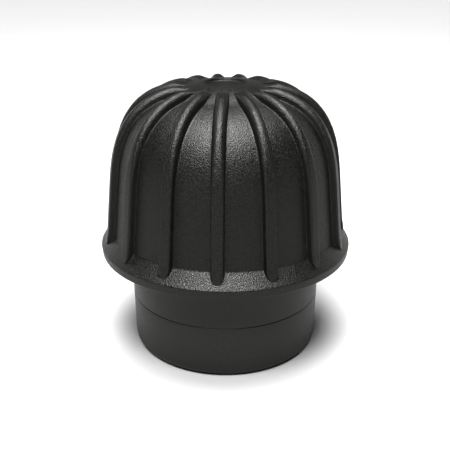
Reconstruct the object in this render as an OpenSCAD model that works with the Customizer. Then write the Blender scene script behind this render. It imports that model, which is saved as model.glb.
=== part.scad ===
// Slip-on exhaust muffler for compressed air: ribbed dome, skirted outlet and two-piece collar.
// Air enters the socket in the collar, passes the diffuser tube, the knitted sleeve, the felt
// rings and the cage, comes down inside the dome and leaves through slots under the skirt.
// A spring-loaded relief poppet on top of the cartridge opens if the packing clogs.
// Origin: centre of the collar's lower face. +Z runs up through the crown. Units: mm.

/* [Dome] */
// Height of the crown above the lower face of the collar
crown_z = 94.2; // [93.8:0.1:94.6]
// Height at which the smooth wall would close at the axis
wall_top_z = 91.8; // [91.4:0.1:92]
// Radius of the smooth wall where it meets the shoulder
wall_base_r = 39.95; // [39.5:0.05:40.4]
// How far the wall and ribs lean in for each mm of height
wall_draft = 0.1; // [0.06:0.01:0.12]
// Height at which the straight wall begins to curve in
knee_z = 59; // [57:1:62]
// Squareness of the wall's dome curve, where 2 is an ellipse
wall_power = 3.3; // [3.1:0.1:3.4]
// Thickness of the dome wall
dome_wall = 2.5; // [2:0.1:3]
// Radius of the shallow dimple in the crown
dimple_r = 7.2; // [4:0.1:9]
// Depth of the dimple
dimple_depth = 0.9; // [0.4:0.1:1.2]

/* [Ribs] */
// Number of ribs round the dome, a multiple of the number of cover screws
rib_count = 15; // [10:5:20]
// Width of a rib
rib_w = 4; // [3:0.1:5]
// Height of a rib above the wall
rib_h = 2.3; // [1.5:0.1:2.5]
// Squareness of the ribs' dome curve
rib_power = 3.2; // [3.1:0.1:3.3]
// Radius at which the ribs begin to rise out of the smooth crown
rib_from_r = 12.6; // [11.5:0.1:13]

/* [Rim] */
// Largest radius of the rim
rim_r = 44.3; // [43.5:0.1:46]
// Height of the lower edge of the rim
rim_low_z = 35.4; // [34:0.1:36]
// Height of the upper edge of the rim
rim_high_z = 38.4; // [38:0.1:39]
// Height at which the shoulder meets the wall
shoulder_z = 43.1; // [43:0.1:44]

/* [Collar] */
// Outer radius of the collar
collar_r = 33.65; // [33:0.05:34]
// Height of the seam between the base cup and the body ring
seam_z = 19.1; // [18:0.1:20]
// Radius of the collar's rounded lower edge
foot_round = 3.2; // [1:0.1:3.6]
// How much narrower the base cup is at its foot than at its seam
cup_draft = 0.3; // [0:0.05:0.5]
// Wall thickness of the body ring's collar
collar_wall = 2.65; // [2.2:0.05:2.8]

/* [Socket] */
// Radius of the socket that slips over the exhaust port
socket_r = 19; // [18.5:0.1:19.5]
// Depth of the socket
socket_depth = 16; // [15:0.5:16.5]
// Radius of the O-ring's cord
port_seal_cord = 1; // [0.8:0.05:1.1]
// Radius of the retaining ring's wire
ring_wire = 0.8; // [0.6:0.05:0.9]

/* [Cartridge] */
// Outer radius of the diffuser tube
tube_r = 14.5; // [14:0.1:14.8]
// Outer radius of the perforated cage
cage_r = 26.4; // [25.5:0.1:27]
// Height of the top face of the cartridge
cartridge_z = 73; // [71:0.5:74]
// Thickness of the perforated tube and cage
sheet = 0.9; // [0.7:0.1:1]
// Radius inside which the knitted sleeve lies
knit_r = 18.4; // [17:0.1:20]

/* [Relief valve] */
// Radius of the relief port in the upper plate
port_r = 9; // [7:0.5:10]
// Radius of the poppet
poppet_r = 11.5; // [11:0.1:12]
// Radius of the poppet's stem
stem_r = 1.5; // [1.3:0.1:1.8]
// Height of the bridge's lower face above the upper plate
bridge_rise = 9; // [8.5:0.1:9.5]
// Mean radius of the spring
spring_r = 5.2; // [4.5:0.1:6.5]
// Radius of the spring's wire
spring_wire = 0.35; // [0.25:0.05:0.4]

/* [Fasteners] */
// Number of screws that hold the cover
cover_screw_count = 5; // [5:5:5]
// Radius of the circle of cover screws
cover_screw_pcr = 36.6; // [36.5:0.1:36.7]
// Number of screws that hold the base cup
base_screw_count = 4; // [3:1:6]
// Radius of the circle of base screws
base_screw_pcr = 25; // [24.8:0.1:25.2]
// Radius of a screw's shank
screw_r = 1.5; // [1.4:0.05:1.5]

/* [Hidden] */
$fn = 96;
cut = 1;                                  // how far a cutting tool runs past a face
root = 0.5;                               // how far a joined shape runs into its neighbour
gap = 0.05;                               // clearance between faces that rest on each other

// Dome and rim
rib_pitch = 360 / rib_count;
front = -90;                              // the first rib lies towards -Y
dome_steps = 14;                          // straight steps in each dome curve
rib_top_z = crown_z + 0.5;                // where the ribs' curve would close at the axis
rib_run = 5.7;                            // length over which a rib reaches its full height
cavity_top_z = wall_top_z - dome_wall;
crown_flat_r = 6.5;                       // radius inside which the crown is level
crown_round_r = 19;                       // radius of the curve that the crown falls away on
crown_out_r = 17;                         // radius at which the crown has sunk into the wall
skirt_in_r = rim_r - 2.6;
rim_edge = 0.4;                           // rounding of the rim's lower edge
fin_t = 2;                                // hold-down fins
fin_h = 12;

// Web of the body ring, which carries the outlet slots
web_low_z = rim_low_z + 2.8;
web_t = 2.2;
web_z = web_low_z + web_t;
web_r = 40.1;
gasket_t = 0.8;
gasket_in_r = 38.5;
gasket_out_r = 39.9;
seat_z = web_z + gasket_t + gap;
slot_in_r = collar_r + 0.8;
slot_out_r = 37.9;
slot_angle = rib_pitch - 3;
pad_r = 2.9;                              // web left solid under a cover screw's head
boss_r = 3.3;

// Collar
spigot_in_r = collar_r - 3.45;
spigot_out_r = collar_r - 1.85;
spigot_drop = 4;
seal_t = 1.5;
seal_z = seam_z - spigot_drop - seal_t;
floor_t = 3;
throat_in_r = 15.7;
throat_out_r = 17.9;
socket_wall_r = 22.4;
stop_r = 16.5;                            // opening above the ledge that stops the port
screen_r = 18.1;
screen_t = 0.8;
screen_pitch = 4.2;
screen_hole_r = 1.5;
seal_groove_z = 10;
seal_groove_depth = 1.9;
ring_groove_z = 4.3;
ring_groove_depth = 1.6;
ring_opening = 28;                        // degrees
mouth_chamfer = 1;

// Screws
head_h = 2.2;
cover_head_r = 2.6;
cover_screw_l = 14;
boss_top_z = web_z + cover_screw_l;
base_head_r = 2.75;
base_head_z = 6;                          // height of the face under the base screw heads
base_screw_l = 20;
base_boss_r = 4;
screw_tip = 1;
screw_edge = 0.6;                         // bevel round a screw's head
hex_r = 1.25;                             // driver socket in a screw's head
hex_depth = 1.2;
screw_clear = 0.05;
hole_clear = 0.2;                         // clearance of the plain holes under the screw heads
head_clear = 0.35;
joint_gap = 0.3;                          // left between a screw tube and the boss above it

// Cartridge
plate_t = 1;
plate_lip = 4;
lower_top_z = web_z + plate_t;
upper_low_z = cartridge_z - plate_t;
pack_top_z = upper_low_z - 1.2;
pack_gap = 0.2;
felt_h = (pack_top_z - lower_top_z - 2 * pack_gap) / 3;
tube_low_z = web_low_z + 1;
tube_bore_r = tube_r - sheet;
tube_rows = 6;
tube_columns = 12;
tube_hole_r = 1.6;
cage_rows = 5;
cage_columns = 18;
cage_hole_r = 2;

// Relief valve
seal_h = 1.15;
poppet_z = cartridge_z + gap + seal_h;    // lower face of the poppet
poppet_t = 1.2;
bridge_z = cartridge_z + bridge_rise;
bridge_t = 1.5;
bridge_w = 8;
bridge_half = 14.5;
foot_half = 21.5;
foot_t = 1.2;
rivet_x = 18;
rivet_r = 1.5;
rivet_head_r = 2.6;
rivet_head_t = 0.9;
clip_z = bridge_z + bridge_t + 0.4;
clip_t = 0.8;
clip_neck_r = 1.1;
clip_r = 3.4;
clip_mouth = 1.6;
stem_top_z = clip_z + clip_t + 0.8;
spring_turns = 4;
spring_low_z = poppet_z + poppet_t;

// One point of a dome curve: u runs from 0 at the knee to 90 on the axis.
function dome_point(base_r, top_z, power, u) =
    let (z = knee_z + (top_z - knee_z) * pow(sin(u), 2 / power))
    [(base_r - wall_draft * (z - shoulder_z)) * pow(cos(u), 2 / power), z];

// The whole dome curve from the knee to the axis.
function dome_curve(base_r, top_z, power = wall_power) =
    [for (i = [0:dome_steps - 1]) dome_point(base_r, top_z, power, 90 * i / dome_steps),
     [0, top_z]];

// Height of the smooth crown at radius r.
function crown_height(r) = crown_z - pow(max(0, r - crown_flat_r), 2) / (2 * crown_round_r);

// Quarter arc of radius r about c, from angle a0 to a1.
function arc(c, r, a0, a1, steps = 6) =
    [for (i = [0:steps]) let (a = a0 + (a1 - a0) * i / steps) c + r * [cos(a), sin(a)]];

// A solid turned from the dome curve, standing on the height low_z.
module turned_dome(base_r, top_z, low_z) {
    low_r = base_r - wall_draft * (low_z - shoulder_z);
    rotate_extrude() polygon(concat([[0, low_z], [low_r, low_z]], dome_curve(base_r, top_z)));
}

// A ring with a rectangular section.
module ring(in_r, out_r, low_z, high_z) {
    translate([0, 0, low_z]) difference() {
        cylinder(r = out_r, h = high_z - low_z);
        translate([0, 0, -cut]) cylinder(r = in_r, h = high_z - low_z + 2 * cut);
    }
}

// Copies its children n times round the axis, the first one towards -Y.
module around(n, start = 0) {
    for (i = [0:n - 1]) rotate(front + start + 360 * i / n) children();
}

// An upright slab in the radial plane, cut from an outline in (radius, height).
module radial_slab(thickness, outline) {
    rotate([90, 0, 0]) translate([0, 0, -thickness / 2])
        linear_extrude(thickness) polygon(outline);
}

// Radial holes through a tube wall of outer radius out_r, in staggered rows.
module wall_holes(columns, rows, low_z, pitch_z, hole_r, out_r) {
    for (row = [0:rows - 1]) for (i = [0:columns - 1])
        rotate((i + (row % 2) / 2) * 360 / columns)
            translate([out_r - sheet - cut, 0, low_z + row * pitch_z]) rotate([0, 90, 0])
                cylinder(r = hole_r, h = sheet + 2 * cut, $fn = 24);
}

// Pan-head screw pointing up, with the face under its head at height 0.
module pan_screw(head_r, length) {
    difference() {
        union() {
            translate([0, 0, -root]) cylinder(r = screw_r, h = length - screw_tip + root);
            translate([0, 0, length - screw_tip])
                cylinder(r1 = screw_r, r2 = screw_r / 2, h = screw_tip);
            translate([0, 0, -head_h])
                cylinder(r1 = head_r - screw_edge, r2 = head_r, h = screw_edge);
            translate([0, 0, screw_edge - head_h]) cylinder(r = head_r, h = head_h - screw_edge);
        }
        translate([0, 0, -head_h - cut]) cylinder(r = hex_r, h = hex_depth + cut, $fn = 6);
    }
}

// ---- Cover ----

// Outline of one rib, from inside the wall out to the rib's outer edge.
function rib_outline() =
    let (foot_z = rim_high_z + 1, rib_base_r = wall_base_r + rib_h,
         edge = [for (p = dome_curve(rib_base_r, rib_top_z, rib_power))
                 if (p[0] > rib_from_r + rib_run) p])
    concat([[rib_base_r - wall_draft * (foot_z - shoulder_z), foot_z]], edge,
           [[rib_from_r, crown_height(rib_from_r) - 0.1], [rib_from_r, crown_z - 2 * rib_h],
            [wall_base_r - 1.5 * rib_h, knee_z], [wall_base_r - rib_h / 2, foot_z]]);

// Smooth crown that the ribs grow out of.
module crown_cap() {
    inner_z = cavity_top_z + 0.2;
    rotate_extrude() polygon(concat([[0, inner_z], [0, crown_z]],
        [for (r = [crown_flat_r:1.5:crown_out_r]) [r, crown_height(r)]],
        [[crown_out_r, inner_z - 1.5]]));
}

// Space inside the cover: the dome, the gasket seat and the skirt.
module cover_cavity() {
    cavity_r = wall_base_r - dome_wall;
    seat_r = cavity_r - wall_draft * (seat_z - shoulder_z);
    rotate_extrude() polygon(concat(
        [[0, rim_low_z - cut], [skirt_in_r, rim_low_z - cut], [skirt_in_r, rim_high_z],
         [web_r + 0.1, rim_high_z + 1.2], [web_r + 0.1, seat_z], [seat_r, seat_z]],
        dome_curve(cavity_r, cavity_top_z)));
}

// Boss for a cover screw, standing on the web behind a rib.
module cover_boss() {
    translate([cover_screw_pcr, 0, web_z + gap]) cylinder(r = boss_r, h = boss_top_z - web_z);
}

// Fin that holds the cartridge down, above the boss.
module hold_down_fin() {
    low_z = cartridge_z + 2 * gap;
    high_z = cartridge_z + fin_h;
    radial_slab(fin_t, [[cage_r - 2, low_z], [rim_r, low_z], [rim_r, high_z],
                        [cage_r + 3, high_z], [cage_r - 2, cartridge_z + fin_h / 3]]);
}

module dome_cover() {
    color([0.11, 0.11, 0.115]) difference() {
        union() {
            difference() {
                union() {
                    rotate_extrude() polygon(concat(
                        [[0, rim_low_z], [rim_r - 2 * rim_edge, rim_low_z],
                         [rim_r - rim_edge, rim_low_z + rim_edge],
                         [rim_r, rim_high_z], [wall_base_r, shoulder_z]],
                        dome_curve(wall_base_r, wall_top_z)));
                    around(rib_count) radial_slab(rib_w, rib_outline());
                    crown_cap();
                }
                cover_cavity();
            }
            difference() {
                intersection() {
                    around(cover_screw_count) {
                        cover_boss();
                        hold_down_fin();
                    }
                    turned_dome(wall_base_r - 1, wall_top_z - 1, web_z);
                }
                ring(gasket_in_r - 0.1, rim_r, web_z, seat_z);
            }
        }
        around(cover_screw_count) translate([cover_screw_pcr, 0, web_z - cut])
            cylinder(r = screw_r + screw_clear, h = cover_screw_l + cut);
        translate([0, 0, crown_z - dimple_depth]) cylinder(r = dimple_r, h = dimple_depth + cut);
    }
}

module cover_gasket() {
    color([0.07, 0.07, 0.07]) ring(gasket_in_r, gasket_out_r, web_z, web_z + gasket_t);
}

// ---- Body ring and base cup ----

module outlet_slot() {
    rotate(-slot_angle / 2) rotate_extrude(angle = slot_angle)
        translate([slot_in_r, web_low_z - cut]) square([slot_out_r - slot_in_r, web_t + 2 * cut]);
}

module body_ring() {
    spigot_low_z = seam_z - spigot_drop;
    color([0.13, 0.13, 0.13]) difference() {
        union() {
            difference() {
                cylinder(r = web_r, h = web_z);
                translate([0, 0, -cut]) cylinder(r = web_r + cut, h = web_low_z + cut);
                around(rib_count, rib_pitch / 2) outlet_slot();
            }
            around(cover_screw_count) translate([cover_screw_pcr, 0, web_low_z])
                cylinder(r = pad_r, h = web_t);
            ring(collar_r - collar_wall, collar_r, seam_z, web_low_z + root);
            ring(spigot_in_r, spigot_out_r, spigot_low_z, seam_z + root);
            ring(spigot_in_r, collar_r, seam_z, seam_z + 2);
            ring(throat_in_r, throat_out_r, seam_z, web_low_z + root);
            around(base_screw_count, 45) translate([base_screw_pcr, 0, seam_z])
                cylinder(r = base_boss_r, h = web_low_z + root - seam_z);
        }
        translate([0, 0, web_low_z - cut]) cylinder(r = tube_bore_r, h = web_t + 2 * cut);
        translate([0, 0, tube_low_z]) cylinder(r = tube_r + gap, h = web_t + cut);
        around(cover_screw_count) translate([cover_screw_pcr, 0, web_low_z - cut])
            cylinder(r = screw_r + hole_clear, h = web_t + 2 * cut);
        around(base_screw_count, 45) translate([base_screw_pcr, 0, seam_z - cut])
            cylinder(r = screw_r + screw_clear, h = base_screw_l - 10);
    }
}

// Section through the outer wall and floor of the base cup, with its rounded lower edge.
module cup_section() {
    difference() {
        polygon(concat([[socket_r, 0]],
                       arc([collar_r - cup_draft - foot_round, foot_round], foot_round, -90, 0),
                       [[collar_r, seam_z], [spigot_out_r + 0.1, seam_z],
                        [spigot_out_r + 0.1, seal_z], [spigot_in_r, seal_z],
                        [spigot_in_r, floor_t], [socket_r, floor_t]]));
        polygon([[0, -cut], [socket_r + mouth_chamfer + cut, -cut], [socket_r, mouth_chamfer],
                 [0, mouth_chamfer]]);
    }
}

// Section through the socket tube, with its two grooves, its stop ledge and the screen's seat.
module socket_section() {
    difference() {
        polygon([[socket_r, floor_t / 2], [socket_wall_r, floor_t / 2], [socket_wall_r, seam_z],
                 [screen_r + 0.1, seam_z], [screen_r + 0.1, seam_z - screen_t],
                 [stop_r, seam_z - screen_t], [stop_r, socket_depth],
                 [socket_r, socket_depth]]);
        groove(seal_groove_z, seal_groove_depth, 2 * port_seal_cord + 0.5);
        groove(ring_groove_z, ring_groove_depth, 2 * ring_wire + 0.3);
    }
}

module groove(mid_z, depth, width) {
    translate([socket_r - cut, mid_z - width / 2]) square([depth + cut, width]);
}

module base_cup() {
    color([0.14, 0.14, 0.135]) difference() {
        union() {
            rotate_extrude() cup_section();
            rotate_extrude() socket_section();
            around(base_screw_count, 45) translate([base_screw_pcr, 0, floor_t / 2])
                cylinder(r = base_boss_r, h = seam_z - joint_gap - floor_t / 2);
        }
        around(base_screw_count, 45) translate([base_screw_pcr, 0, 0]) {
            translate([0, 0, -cut]) cylinder(r = base_head_r + head_clear, h = base_head_z + cut);
            cylinder(r = screw_r + hole_clear, h = seam_z + cut);
        }
    }
}

module base_seal() {
    color([0.07, 0.07, 0.07]) ring(spigot_in_r + 0.1, spigot_out_r, seal_z, seal_z + seal_t);
}

module port_seal() {
    color([0.06, 0.06, 0.06]) translate([0, 0, seal_groove_z])
        rotate_extrude() translate([socket_r - 0.15 + port_seal_cord, 0])
            circle(r = port_seal_cord, $fn = 32);
}

module retaining_ring() {
    color("silver") translate([0, 0, ring_groove_z])
        rotate(90 + ring_opening / 2) rotate_extrude(angle = 360 - ring_opening)
            translate([socket_r - 0.1 + ring_wire, 0]) circle(r = ring_wire, $fn = 24);
}

module inlet_screen() {
    color("silver") translate([0, 0, seam_z - screen_t]) difference() {
        cylinder(r = screen_r, h = screen_t);
        for (row = [0:3]) for (i = [0:max(row * 6, 1) - 1])
            rotate(i * 60 / max(row, 1)) translate([row * screen_pitch, 0, -cut])
                cylinder(r = screen_hole_r, h = screen_t + 2 * cut, $fn = 24);
    }
}

// ---- Cartridge ----

module lower_plate() {
    color("lightsteelblue") {
        ring(tube_r + gap, cage_r + plate_t, web_z, lower_top_z);
        ring(cage_r + gap, cage_r + plate_t, web_z + root, lower_top_z + plate_lip);
    }
}

module diffuser_tube() {
    pitch_z = (pack_top_z - lower_top_z) / tube_rows;
    color("silver") difference() {
        ring(tube_bore_r, tube_r, tube_low_z, upper_low_z);
        wall_holes(tube_columns, tube_rows, lower_top_z + pitch_z / 2, pitch_z, tube_hole_r,
                   tube_r);
    }
}

module knit_sleeve() {
    color([0.62, 0.6, 0.55]) ring(tube_r + 0.1, knit_r, lower_top_z, pack_top_z);
}

module felt_ring(index) {
    low_z = lower_top_z + index * (felt_h + pack_gap);
    color([0.8, 0.78, 0.72]) ring(knit_r + 0.1, cage_r - sheet - 0.1, low_z, low_z + felt_h);
}

module felt_ring_lower() { felt_ring(0); }
module felt_ring_middle() { felt_ring(1); }
module felt_ring_upper() { felt_ring(2); }

module outer_cage() {
    low_z = lower_top_z + plate_lip;
    pitch_z = (upper_low_z - plate_lip - low_z) / cage_rows;
    color("silver") difference() {
        ring(cage_r - sheet, cage_r, lower_top_z, upper_low_z);
        wall_holes(cage_columns, cage_rows, low_z + pitch_z / 2, pitch_z, cage_hole_r, cage_r);
    }
}

module upper_plate() {
    color("lightsteelblue") difference() {
        union() {
            ring(port_r, cage_r + plate_t, upper_low_z, cartridge_z);
            ring(cage_r + gap, cage_r + plate_t, upper_low_z - plate_lip, upper_low_z + root);
        }
        for (side = [-1, 1]) translate([side * rivet_x, 0, upper_low_z - cut])
            cylinder(r = rivet_r, h = plate_t + 2 * cut);
    }
}

// ---- Relief valve ----

module relief_bridge() {
    leg = bridge_half - foot_t;
    color("silver") difference() {
        rotate([90, 0, 0]) translate([0, 0, -bridge_w / 2]) linear_extrude(bridge_w)
            polygon([[-foot_half, cartridge_z], [-leg, cartridge_z], [-leg, bridge_z],
                     [leg, bridge_z], [leg, cartridge_z], [foot_half, cartridge_z],
                     [foot_half, cartridge_z + foot_t], [bridge_half, cartridge_z + foot_t],
                     [bridge_half, bridge_z + bridge_t], [-bridge_half, bridge_z + bridge_t],
                     [-bridge_half, cartridge_z + foot_t], [-foot_half, cartridge_z + foot_t]]);
        translate([0, 0, bridge_z - cut]) cylinder(r = stem_r + 0.06, h = bridge_t + 2 * cut);
        for (side = [-1, 1]) translate([side * rivet_x, 0, cartridge_z - cut])
            cylinder(r = rivet_r, h = foot_t + 2 * cut);
    }
}

module bridge_rivets() {
    grip = plate_t + foot_t;
    color("gainsboro") for (side = [-1, 1]) translate([side * rivet_x, 0, upper_low_z]) {
        translate([0, 0, -root]) cylinder(r = rivet_r, h = grip + 2 * root);
        translate([0, 0, grip])
            cylinder(r1 = rivet_head_r, r2 = rivet_head_r - 1, h = rivet_head_t);
        translate([0, 0, -rivet_head_t]) cylinder(r = rivet_head_r - 0.4, h = rivet_head_t);
    }
}

// Round wire along a helix, closed at both ends.
module coil(mean_r, wire_r, turns, height) {
    per_turn = 24;
    sides = 8;
    rings = turns * per_turn;
    points = [for (i = [0:rings]) for (j = [0:sides - 1])
        let (a = 360 * i / per_turn, b = 360 * j / sides, r = mean_r + wire_r * cos(b))
        [r * cos(a), r * sin(a), height * i / rings + wire_r * sin(b)]];
    walls = [for (i = [0:rings - 1]) for (j = [0:sides - 1])
        let (k = (j + 1) % sides)
        [i * sides + j, i * sides + k, (i + 1) * sides + k, (i + 1) * sides + j]];
    low_end = [for (j = [sides - 1:-1:0]) j];
    high_end = [for (j = [0:sides - 1]) rings * sides + j];
    polyhedron(points, concat(walls, [low_end, high_end]), convexity = 8);
}

module relief_spring() {
    height = bridge_z - spring_low_z - 2 * spring_wire - 2 * gap;
    color("silver") translate([0, 0, spring_low_z + spring_wire + gap])
        coil(spring_r, spring_wire, spring_turns, height);
}

module relief_poppet() {
    hub_r = spring_r - spring_wire - 0.6;
    color("gold") difference() {
        union() {
            translate([0, 0, poppet_z]) cylinder(r = poppet_r, h = poppet_t);
            translate([0, 0, spring_low_z - root])
                cylinder(r1 = hub_r, r2 = hub_r - 0.6, h = 1.2 + root);
            translate([0, 0, poppet_z + root])
                cylinder(r = stem_r, h = stem_top_z - poppet_z - root);
        }
        ring(clip_neck_r, poppet_r, clip_z, clip_z + clip_t);
    }
}

module relief_seal() {
    color([0.07, 0.07, 0.07]) ring(port_r - 2.5, poppet_r - 0.3, poppet_z - seal_h, poppet_z);
}

module relief_clip() {
    color("dimgray") difference() {
        ring(clip_neck_r, clip_r, clip_z, clip_z + clip_t);
        translate([-clip_mouth / 2, 0, clip_z - cut])
            cube([clip_mouth, clip_r + cut, clip_t + 2 * cut]);
    }
}

// ---- Fasteners ----

module cover_screws() {
    color("silver") around(cover_screw_count) translate([cover_screw_pcr, 0, web_low_z])
        pan_screw(cover_head_r, cover_screw_l);
}

module base_screws() {
    color("silver") around(base_screw_count, 45) translate([base_screw_pcr, 0, base_head_z])
        pan_screw(base_head_r, base_screw_l);
}

dome_cover();
cover_gasket();
body_ring();
base_cup();
base_seal();
port_seal();
retaining_ring();
inlet_screen();
lower_plate();
diffuser_tube();
knit_sleeve();
felt_ring_lower();
felt_ring_middle();
felt_ring_upper();
outer_cage();
upper_plate();
relief_bridge();
bridge_rivets();
relief_spring();
relief_poppet();
relief_seal();
relief_clip();
cover_screws();
base_screws();
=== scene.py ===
"""Looks of a slip-on exhaust muffler in black moulded plastic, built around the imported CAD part.

Lengths in this script are in millimetres until mesh_object() turns them into metres.
Heights are above the collar's lower face, and radii are from the muffler's axis.
"""

import math
from math import cos, radians, sin

import bmesh
import bpy
import numpy as np
from mathutils import Matrix, Vector
from mathutils.noise import noise as noise_value


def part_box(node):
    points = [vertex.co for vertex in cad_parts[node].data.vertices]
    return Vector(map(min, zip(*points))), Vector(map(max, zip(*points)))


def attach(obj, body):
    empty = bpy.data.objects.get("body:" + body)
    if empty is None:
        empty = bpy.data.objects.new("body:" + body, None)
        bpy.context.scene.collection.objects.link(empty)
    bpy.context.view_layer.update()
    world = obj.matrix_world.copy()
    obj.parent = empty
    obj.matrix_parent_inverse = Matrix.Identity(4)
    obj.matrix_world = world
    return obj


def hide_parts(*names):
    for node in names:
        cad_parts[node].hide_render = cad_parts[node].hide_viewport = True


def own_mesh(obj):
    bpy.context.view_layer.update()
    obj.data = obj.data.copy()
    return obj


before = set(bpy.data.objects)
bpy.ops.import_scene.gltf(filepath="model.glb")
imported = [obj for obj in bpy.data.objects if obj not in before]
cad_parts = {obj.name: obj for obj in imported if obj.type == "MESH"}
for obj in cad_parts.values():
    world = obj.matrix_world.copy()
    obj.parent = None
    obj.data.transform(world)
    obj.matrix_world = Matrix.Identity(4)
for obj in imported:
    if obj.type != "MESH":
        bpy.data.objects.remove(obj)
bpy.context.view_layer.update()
MM = 0.001


# ---- sizes from the frame

def low(node):
    """Height of the lowest point of a CAD node."""
    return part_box(node)[0].z / MM


def high(node):
    """Height of the highest point of a CAD node."""
    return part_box(node)[1].z / MM


def reach(node):
    """Largest radius of a CAD node that is turned about the axis."""
    lo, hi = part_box(node)
    return min(hi.x - lo.x, hi.y - lo.y) / 2 / MM


def extent(node):
    """Lowest and highest point and largest radius of a CAD node that is turned about the axis."""
    return low(node), high(node), reach(node)


RIM_R = reach("dome_cover")
RIM_LOW = low("dome_cover")
RIM_HIGH = RIM_LOW + 3.0  # top of the rim's band, where the shoulder begins
RIM_IN = RIM_R - 2.5  # inside of the rim
CROWN = high("dome_cover")
COLLAR_R = reach("base_cup")
FOOT_R = COLLAR_R - 0.3  # the cup narrows a little towards its foot
FOOT_ROUND = 3.2
SEAM = high("base_cup")  # joint line of the collar
SEAM_EASE = 0.3
WEB_TOP = high("body_ring")  # the slotted web that carries the dome
WEB_LOW = WEB_TOP - 2.2
WEB_R = reach("body_ring")
SPIGOT_LOW = low("body_ring")
SPIGOT_R = reach("base_seal")
SPIGOT_IN = SPIGOT_R - 1.6
FLOOR = 3.0  # thickness of the base cup's floor
PLATE = 1.0  # thickness of the cartridge's end plates
PLATE_R = reach("upper_plate")
PLATE_TOP = high("upper_plate")
PACK_LOW = high("lower_plate") - 4.0  # upper face of the lower plate, where the packing stands
PACK_TOP = PLATE_TOP - PLATE
TUBE_R = reach("diffuser_tube")
SHEET = 0.9  # thickness of the perforated sheet

RIBS = 15
SECTOR = 360.0 / RIBS
WALL_R = 39.95  # wall radius where it meets the shoulder
SHOULDER = RIM_LOW + 7.7  # height where the wall meets the shoulder
DRAFT = 0.1  # how much the wall leans in, per unit of height
KNEE = RIM_LOW + 23.6  # where the straight wall begins to curve in
RIB_H = 2.3
RIB_HALF = 2.0
RIB_FLARE = 0.3  # how much further out the ribs' feet reach
RIB_TOP = 94.7  # height at which the ribs' curve would close
RIB_POWER = 3.2  # squareness of the ribs' curve, where 2 is an ellipse
RIB_FROM = 12.6  # radius where the ribs begin to grow from the crown
RIB_RUN = 5.7  # and how far out they reach their full height
RIB_ROUND_LOW = 0.7  # rounding of a rib's edges low on the wall
RIB_ROUND_HIGH = 1.9  # and over the dome
FOOT_SHARE = 0.35  # least width of a rib's rounded foot, as a share
WALL_TOP = 91.8  # height at which the wall's curve would close
WALL_POWER = 3.3
CROWN_FLAT = 6.5  # radius inside which the crown is level
CROWN_ROUND = 19.0  # radius of the curve that the crown falls away on
CROWN_REACH = 24.0  # radius inside which the crown is blended in
CROWN_SOFT = 0.35  # softness of the turn where they meet
DOME_WALL = 2.5
DOME_STEPS = 22  # points on the curve of the cavity
SEAT_Z = WEB_TOP + 0.85  # the dome's seat on its gasket
FRONT = -90.0  # direction of the first rib and screw, in degrees
COVER_SCREWS = 5
COVER_PCR = 36.6  # radius of the circle that the screws are on
BASE_SCREWS = 4
BASE_PCR = 25.0
BASE_START = 45.0  # direction of the first base screw from the front
SCREW_R = 1.5
BLIND_R = SCREW_R + 0.05  # hole that a screw holds in
THREAD_PITCH = 0.9
RIVET_X = 18.0  # how far the rivets are from the axis
RIVET_HOLE = 1.52
CUT = 1.0  # how far a cutter reaches past what it cuts


# ---- mesh helpers

def mesh_object(name, points, faces, sharp=35.0):
    """An object from points in millimetres. Edges bent by more than sharp degrees stay crisp."""
    mesh = bpy.data.meshes.new(name)
    mesh.from_pydata((np.asarray(points, float) * MM).tolist(), [], faces)
    mesh.shade_smooth()
    mesh.set_sharp_from_angle(angle=radians(sharp))
    obj = bpy.data.objects.new(name, mesh)
    bpy.context.scene.collection.objects.link(obj)
    return obj


def arc(centre, radius, start, end, steps):
    """Points on an arc, angles in degrees."""
    angles = np.radians(np.linspace(start, end, steps + 1))
    return [(centre[0] + radius * cos(a), centre[1] + radius * sin(a)) for a in angles]


def rounded(corners, step=30.0, closed=True):
    """An outline with rounded corners. Each corner is (x, y) or (x, y, radius)."""
    out = []
    count = len(corners)
    for i, corner in enumerate(corners):
        here = np.array(corner[:2], float)
        radius = corner[2] if len(corner) > 2 else 0.0
        at_end = not closed and i in (0, count - 1)
        if radius <= 0 or at_end:
            out.append(tuple(here))
            continue
        back = np.array(corners[i - 1][:2], float) - here
        ahead = np.array(corners[(i + 1) % count][:2], float) - here
        back /= np.linalg.norm(back)
        ahead /= np.linalg.norm(ahead)
        half = math.acos(max(-1.0, min(1.0, float(back @ ahead)))) / 2
        centre = here + (back + ahead) / np.linalg.norm(back + ahead) * radius / sin(half)
        p0 = here + back * radius / math.tan(half) - centre
        p1 = here + ahead * radius / math.tan(half) - centre
        a0, a1 = math.atan2(p0[1], p0[0]), math.atan2(p1[1], p1[0])
        turn = (a1 - a0 + math.pi) % (2 * math.pi) - math.pi
        steps = max(2, int(round(abs(math.degrees(turn)) / step)))
        out += arc(centre, radius, math.degrees(a0), math.degrees(a0 + turn), steps)
    return out


def grid_faces(rows, columns, wrap_rows=False):
    """Faces of a grid that wraps round in its columns."""
    lines = np.arange(rows if wrap_rows else rows - 1)
    i, j = np.meshgrid(lines, np.arange(columns), indexing="ij")
    i2, j2 = (i + 1) % rows, (j + 1) % columns
    quads = np.stack([i * columns + j, i * columns + j2, i2 * columns + j2, i2 * columns + j], -1)
    return quads.reshape(-1, 4).tolist()


def facing_out(obj):
    """Makes the normals of a closed mesh face outwards."""
    bm = bmesh.new()
    bm.from_mesh(obj.data)
    bmesh.ops.recalc_face_normals(bm, faces=bm.faces)
    bm.to_mesh(obj.data)
    bm.free()
    return obj


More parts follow.
